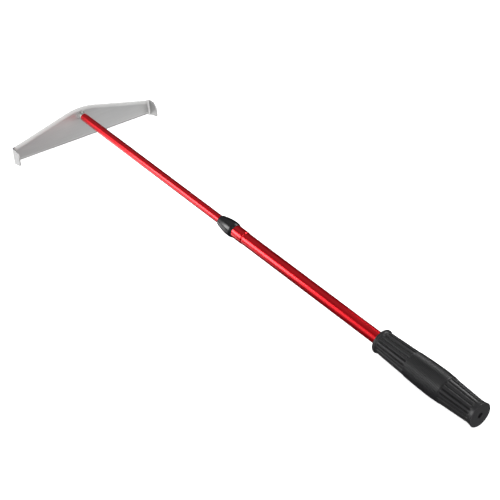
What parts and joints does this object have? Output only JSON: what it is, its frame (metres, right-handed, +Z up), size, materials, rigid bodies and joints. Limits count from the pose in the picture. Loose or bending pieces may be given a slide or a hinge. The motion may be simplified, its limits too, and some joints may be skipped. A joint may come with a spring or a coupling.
{
  "type": "telescoping garden hoe",
  "caption": "Garden hoe with a wide wing-shaped sheet blade with bent end flanges, on a twist-locked telescoping tube handle with a ribbed grip.",
  "frame": {"origin": "centre of the hole in the grip's rear end face", "axes": "+X along the handle from the blade to the grip, +Y along the blade's width, +Z up, away from the blade's straight edge"},
  "size_m": [0.8932, 0.27, 0.0608],
  "materials": {
    "blade_steel": "satin",
    "zinc_steel": "satin",
    "weld_bead": "matte",
    "red_paint": "gloss",
    "black_gloss": "gloss",
    "grip_rubber": "matte",
    "seal_rubber": "matte",
    "lock_nylon": "matte",
    "plug_plastic": "matte",
    "cone_brass": "satin"
  },
  "bodies": {
    "handle": {"outer_tube": "red_paint", "nose_ferrule": "black_gloss", "tube_plug": "plug_plastic", "grip": "grip_rubber"},
    "expander": {"lock_expander": "lock_nylon", "drag_ring": "seal_rubber"},
    "shaft": {"blade": "blade_steel", "blade_stud": "zinc_steel", "stud_weld": "weld_bead", "stud_rivet": "zinc_steel", "inner_tube": "red_paint", "lock_plug": "plug_plastic", "plug_pin": "zinc_steel", "lock_screw": "zinc_steel", "thrust_washer": "zinc_steel", "stop_nut": "zinc_steel"},
    "cone": {"cone_nut": "cone_brass"}
  },
  "joints": [
    {"name": "telescope_slide", "type": "slide", "parent": "handle", "child": "expander", "axis": [1, 0, 0], "range_m": [0, 0.338]},
    {"name": "twist_lock", "type": "hinge", "parent": "expander", "child": "shaft", "pos_m": [-0.45, 0, 0], "axis": [1, 0, 0], "range_deg": [0, 360]},
    {"name": "cone_feed", "type": "slide", "parent": "expander", "child": "cone", "axis": [1, 0, 0], "range_m": [0, 0.0011]}
  ],
  "couplings": [
    {"joint": "cone_feed", "follows": "twist_lock", "m_per_rad": 0.00015915}
  ]
}
